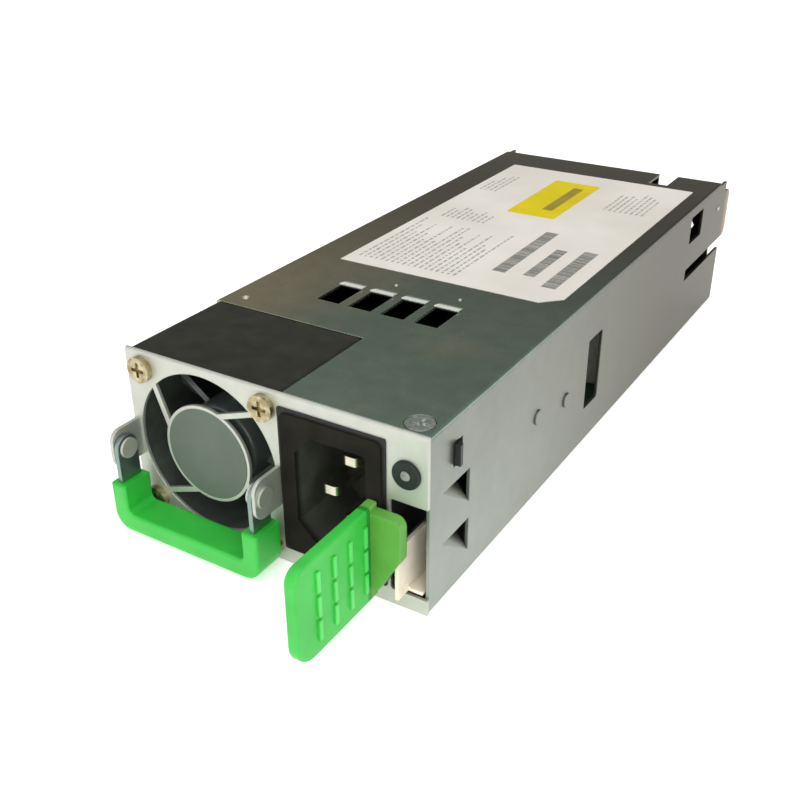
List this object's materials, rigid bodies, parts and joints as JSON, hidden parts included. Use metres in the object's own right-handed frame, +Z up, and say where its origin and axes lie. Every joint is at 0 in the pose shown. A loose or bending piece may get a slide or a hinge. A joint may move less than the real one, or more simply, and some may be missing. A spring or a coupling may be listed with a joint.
{
  "type": "hot swap server power supply",
  "caption": "Slide-in sheet steel power supply module with a cooling fan, a mains inlet, a fold-down bail handle and a sprung latch lever.",
  "frame": {"origin": "on the floor of the case, in the plane of the front panel's outer face, midway across", "axes": "+X to the right seen from the front, +Y from the front panel into the server, +Z up"},
  "size_m": [0.0747, 0.218, 0.0406],
  "materials": {
    "zinc_steel": "satin zinc-coated sheet",
    "bright_steel": "bright zinc-coated sheet",
    "spring_steel": "satin spring steel",
    "yellow_zinc": "yellow passivated zinc on steel",
    "green_plastic": "semi-gloss moulding",
    "black_plastic": "fine matt moulding",
    "clear_plastic": "clear polished",
    "brass_pin": "nickel plated",
    "gold_contact": "gold plated",
    "board_laminate": "solder mask",
    "ferrite": "sintered ferrite",
    "copper_wire": "enamelled copper",
    "sleeve": "shrink sleeve",
    "aluminium": "extruded",
    "film": "thin film",
    "yellow_tape": "tape wrapped",
    "wire_sleeve": "wire insulation"
  },
  "bodies": {
    "module": {"base_tray": "zinc_steel", "top_cover": "zinc_steel", "front_panel": "bright_steel", "rear_panel": "zinc_steel", "cover_screw": "zinc_steel", "fan_frame": "black_plastic", "motor_mount": "black_plastic", "fan_bearings": "brass_pin", "fan_stator": "copper_wire", "fan_screws": "yellow_zinc", "inlet_housing": "black_plastic", "inlet_pins": "brass_pin", "light_bezel": "black_plastic", "light_pipe": "clear_plastic", "status_light": "clear_plastic", "latch_root": "spring_steel", "latch_rivets": "zinc_steel", "handle_rivets": "bright_steel", "main_board": "board_laminate", "edge_contacts": "gold_contact", "insulator_film": "film", "board_posts": "brass_pin", "board_screws": "zinc_steel", "line_choke_core": "ferrite", "line_choke_windings": "copper_wire", "boost_choke_core": "ferrite", "boost_choke_windings": "copper_wire", "bulk_capacitor": "sleeve", "heat_sink": "aluminium", "power_transistors": "black_plastic", "transformer_core": "ferrite", "transformer_windings": "yellow_tape", "output_capacitors": "sleeve", "relay": "black_plastic", "line_capacitor": "yellow_tape", "bridge_rectifier": "black_plastic", "standby_transformer": "yellow_tape", "fan_socket": "film", "control_board": "board_laminate", "fan_lead": "wire_sleeve", "inlet_wires": "wire_sleeve", "status_light_lead": "wire_sleeve"},
    "fan": {"fan_rotor": "black_plastic", "fan_shaft": "brass_pin"},
    "latch": {"latch_spring": "spring_steel", "release_lever": "green_plastic"},
    "handle": {"handle_bail": "zinc_steel", "handle_grip": "green_plastic"}
  },
  "joints": [
    {"name": "fan_spin", "type": "hinge", "parent": "module", "child": "fan", "pos_m": [-0.01645, 0.015, 0.02], "axis": [0, -1, 0], "continuous": true},
    {"name": "latch_press", "type": "hinge", "parent": "module", "child": "latch", "pos_m": [0.03555, 0.042, 0.018], "axis": [0, 0, -1], "range_deg": [0, 3.2], "stiffness_Nm_per_rad": 8},
    {"name": "handle_fold", "type": "hinge", "parent": "module", "child": "handle", "pos_m": [-0.01645, -0.0058, 0.0194], "axis": [-1, 0, 0], "range_deg": [0, 90]}
  ]
}
